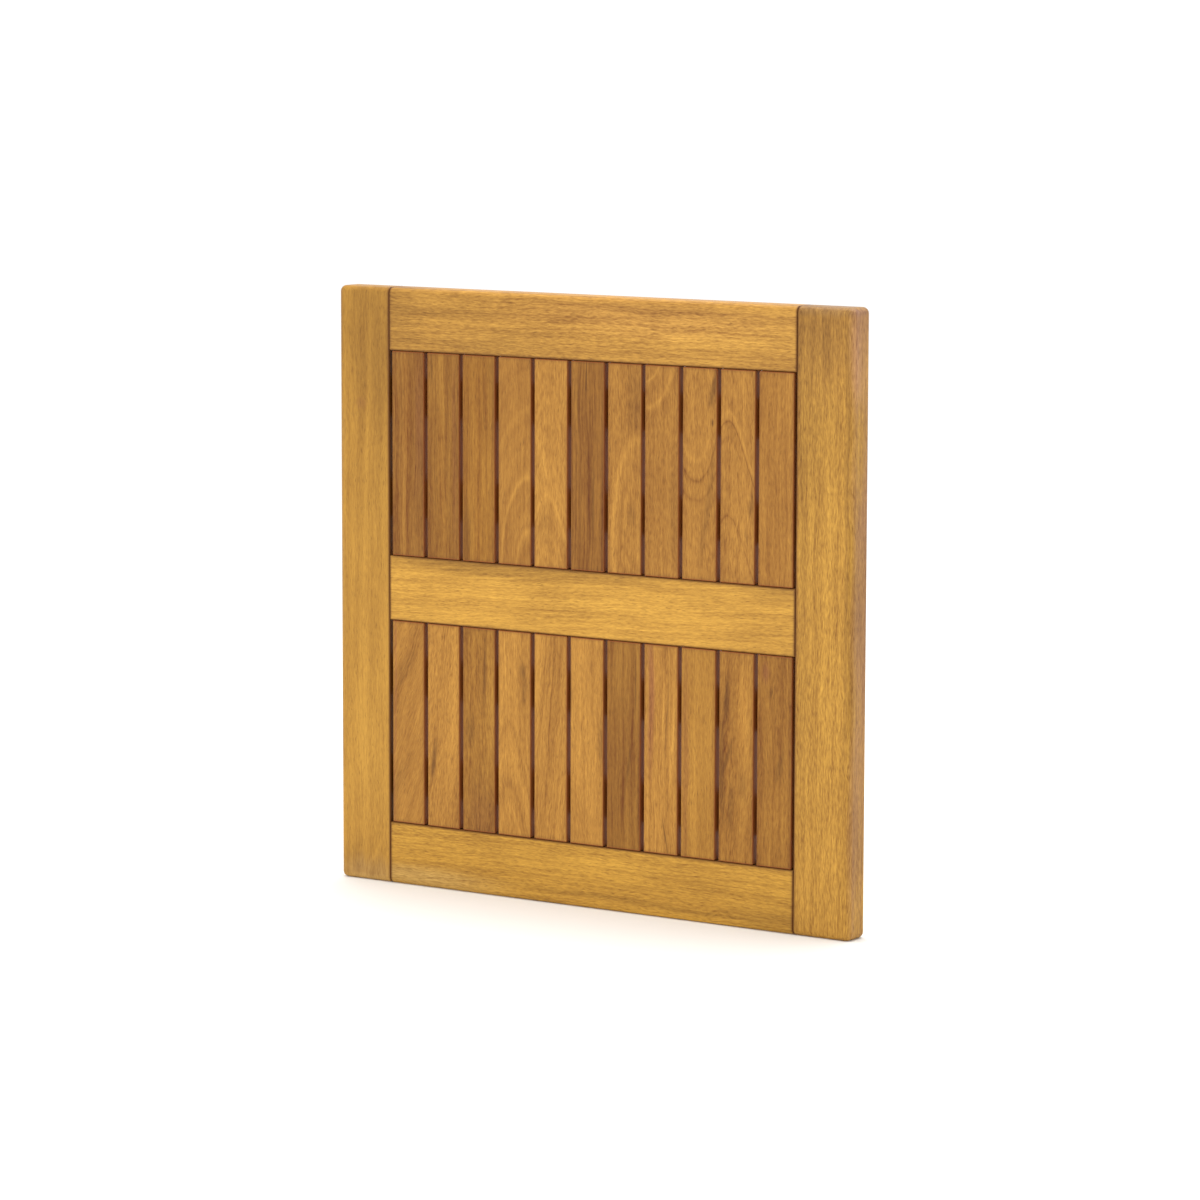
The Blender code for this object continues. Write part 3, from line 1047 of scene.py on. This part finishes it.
UPPER_WOODS = (
    Wood(
        0.05, 21.0, fleck=0.55, thread=1.3, ribbon=0.7, wave=0.0006, tint=(0.97, 1.0, 1.0),
        marks=((-0.004, 0.0, 0.006, 0.200, 0.0, 0.22), (0.014, 0.010, 0.007, 0.090, 0.0, -0.22)),
        blushes=((0.013, 0.030, 0.007, 0.080, 0.0, 0.50),),
    ),
    Wood(
        0.12, 22.0, fleck=0.55, thread=1.4, ribbon=0.8, wave=0.0006, tint=(0.97, 1.0, 0.92),
        marks=((-0.001, 0.0, 0.006, 0.200, 0.0, 0.20), (-0.012, 0.080, 0.002, 0.020, 0.0, -0.5)),
        blushes=((0.013, 0.0, 0.003, 0.120, 0.0, 0.40),),
    ),
    Wood(
        0.21, 23.0, fleck=0.6, thread=1.4, ribbon=0.8, wave=0.0006, tint=(0.97, 0.96, 0.78),
        marks=(
            (0.014, 0.070, 0.005, 0.050, 0.0, -0.35), (0.0, -0.02, 0.006, 0.12, 0.0, 0.12),
            (-0.011, -0.068, 0.008, 0.040, 0.0, -0.45),
        ),
    ),
    Wood(
        0.56, 24.0, heart=(0.017, 0.0, -0.110), spread=(0.327, 0.0), fleck=0.6, ribbon=0.5,
        veins=(
            (0.032, 0.0008, 0.48),
            (0.0165, 0.001, 0.42),
            (0.041, 0.0006, 0.20),
            (0.052, 0.0008, 0.15),
            (0.028, 0.0020, -0.15),
            (0.012, 0.0020, -0.2),
            (0.064, 0.0006, -0.2),
        ),
    ),
    Wood(
        0.76, 25.0, heart=(-0.0042, 0.003, -0.0135), spread=(0.0, 0.36), ribbon=0.6, dash=0.3,
        veins=((0.003, 0.0011, 0.22), (-0.004, 0.002, -0.26), (0.012, 0.002, 0.12)),
        marks=(
            (-0.008, -0.055, 0.008, 0.025, 0.0, -0.2),
            (-0.010, 0.012, 0.004, 0.050, -0.33, 0.16),
        ),
    ),
    Wood(
        0.08, 61.0, fleck=0.5, thread=2.0, ribbon=1.1, wave=0.0004, tint=(0.82, 0.78, 0.70),
        marks=(
            (0.0002, 0.078, 0.0010, 0.020, 0.0, -0.9), (-0.008, 0.050, 0.0008, 0.050, 0.0, -0.5),
            (0.005, -0.030, 0.0018, 0.045, 0.02, -0.5), (-0.003, -0.020, 0.003, 0.080, 0.0, 0.15),
        ),
    ),
    Wood(
        0.62, 27.0, heart=(0.014, 0.0, -0.055), spread=(0.317, 0.0), ribbon=0.6, dash=0.25,
        veins=((0.026, 0.0014, 0.34), (0.020, 0.002, -0.15), (0.033, 0.002, -0.2)),
        marks=((0.012, 0.062, 0.010, 0.040, 0.0, -0.30), (0.008, -0.040, 0.006, 0.012, 0.0, -0.3)),
    ),
    Wood(
        0.58, 28.0, heart=(-0.019, 0.0, 0.110), spread=(0.58, 0.0), ribbon=0.6, figure=0.08,
        veins=(
            (0.019, 0.0006, 0.50),
            (0.032, 0.0012, 0.34),
            (0.037, 0.003, -0.25),
            (0.025, 0.002, -0.15),
        ),
        marks=((0.012, -0.035, 0.008, 0.05, 0.0, -0.15),),
    ),
    Wood(
        0.57, 29.0, heart=(-0.004, 0.0, 0.060), spread=(0.355, 0.0), rings=0.005, dash=0.25,
        veins=((0.024, 0.0005, -0.50), (0.030, 0.0005, -0.25), (0.018, 0.0008, 0.25)),
        marks=(
            (0.014, 0.075, 0.004, 0.020, 0.25, -0.7), (0.013, 0.046, 0.0015, 0.004, 0.0, -0.9),
            (0.008, -0.030, 0.005, 0.060, 0.15, -0.35),
        ),
    ),
    Wood(
        0.63, 30.0, heart=(-0.010, 0.006, 0.0), spread=(0.0, 0.33), rings=0.008, dash=0.35,
        veins=(
            (0.0268, 0.0004, -0.65), (-0.0005, 0.0004, -0.45), (0.022, 0.0006, -0.25),
            (0.0295, 0.0008, 0.3),
        ),
        marks=((0.014, -0.025, 0.003, 0.015, 0.1, -0.5), (0.010, -0.052, 0.002, 0.012, -0.2, -0.5)),
    ),
    Wood(0.44, 31.0, fleck=0.8, thread=1.3, ribbon=1.1, figure=0.06, tint=(1.0, 0.99, 0.95)),
)

LOWER_WOODS = (
    Wood(
        0.62, 41.0, slant=0.35, fleck=0.8, ribbon=1.1,
        marks=(
            (-0.010, -0.055, 0.008, 0.030, 0.5, -0.30),
            (-0.004, 0.050, 0.010, 0.020, 0.5, -0.2),
        ),
        blushes=((-0.0145, 0.0, 0.0012, 0.5, 0.0, 0.5),),
    ),
    Wood(
        0.77, 42.0, fleck=1.2, dash=0.4, slant=0.10, wave=0.002,
        marks=((-0.0135, -0.033, 0.0045, 0.024, 0.16, -0.75),),
    ),
    Wood(
        0.31, 43.0, thread=1.3, ribbon=1.1, tint=(0.99, 1.01, 0.90),
        marks=(
            (0.008, 0.055, 0.0022, 0.045, 0.0, -0.5), (-0.010, 0.0, 0.007, 0.018, 0.0, -0.4),
            (-0.006, 0.060, 0.006, 0.05, 0.0, 0.15), (0.003, -0.080, 0.020, 0.060, 0.0, -0.25),
        ),
        blushes=((0.003, -0.085, 0.020, 0.045, 0.0, 0.30),),
    ),
    Wood(
        0.76, 44.0, heart=(-0.006, 0.002, -0.010), spread=(0.0, 0.26), ribbon=1.2,
        veins=(
            (0.006, 0.0010, 0.4),
            (-0.002, 0.0016, -0.35),
            (-0.007, 0.001, 0.3),
            (0.012, 0.001, -0.2),
        ),
        marks=(
            (0.009, 0.058, 0.0045, 0.009, 0.0, -0.6), (0.011, 0.040, 0.004, 0.020, 0.1, -0.35),
            (-0.010, 0.060, 0.0015, 0.050, 0.0, 0.3),
        ),
    ),
    Wood(0.80, 45.0, slant=0.07, thread=1.4, ribbon=1.6, dash=0.30),
    Wood(
        0.87, 46.0, ribbon=0.8,
        # Painted shade: darker along both edges, beside the gaps
        marks=((-0.0165, 0.045, 0.004, 0.030, 0.0, -0.5), (0.0155, 0.0, 0.004, 0.028, 0.0, -0.5)),
    ),
    Wood(
        0.11, 47.0, fleck=0.5, thread=1.3, ribbon=0.7, wave=0.0006, tint=(0.98, 1.01, 0.91),
        marks=((0.012, 0.055, 0.0008, 0.035, 0.0, -0.6), (0.006, -0.020, 0.0016, 0.022, 0.1, -0.5)),
    ),
    Wood(
        0.77, 48.0, thread=1.6, ribbon=1.9, dash=0.30,
        marks=(
            (0.004, -0.075, 0.0010, 0.022, -0.15, -0.8), (0.003, 0.045, 0.0015, 0.035, 0.0, 0.4),
            (0.012, -0.010, 0.002, 0.060, 0.03, 0.25), (0.007, 0.030, 0.0012, 0.050, 0.05, -0.4),
        ),
        blushes=((-0.0115, 0.045, 0.0045, 0.080, 0.0, 0.7),),
    ),
    Wood(
        0.67, 49.0, fleck=0.8, ribbon=1.1, tint=(0.99, 1.01, 0.90),
        blushes=((-0.012, 0.0, 0.004, 0.12, 0.0, 0.3),),
    ),
    Wood(
        0.38, 50.0, ribbon=1.0, slant=0.06, dash=0.2, tint=(0.98, 0.98, 0.92),
        marks=(
            (-0.010, 0.052, 0.003, 0.022, 0.0, -0.6), (-0.008, 0.0, 0.002, 0.018, 0.3, -0.55),
            (-0.005, -0.045, 0.004, 0.025, 0.05, -0.45), (0.007, -0.025, 0.005, 0.018, 0.0, -0.4),
            (0.006, 0.040, 0.008, 0.050, 0.0, 0.35), (-0.0145, -0.010, 0.004, 0.060, 0.0, -0.5),
        ),
    ),
    Wood(
        0.25, 51.0, fleck=0.8, thread=1.3, dash=0.2, tint=(0.98, 0.99, 0.90),
        marks=(
            (-0.002, 0.060, 0.002, 0.007, 0.2, -0.6), (0.005, -0.005, 0.0045, 0.018, 0.25, -0.35),
            (0.001, -0.04, 0.012, 0.03, 0.0, 0.12),
        ),
        blushes=((-0.008, 0.078, 0.006, 0.012, 0.0, 0.7),),
    ),
)


SLAT_WOODS = {"upper": UPPER_WOODS, "lower": LOWER_WOODS}


def main():
    holes = make_holes()
    make_stiles(holes)
    make_rails(holes)
    throw_away({cutter.name: cutter for group in holes.values() for cutter in group}.values())
    make_slats()
    make_battens()
    finish_dowels()
    screw_steel = steel()
    foot_rubber = rubber()
    place_slat_screws(screw_steel)
    place_feet(foot_rubber, screw_steel)
    make_floor()
    make_light()
    make_camera()


main()
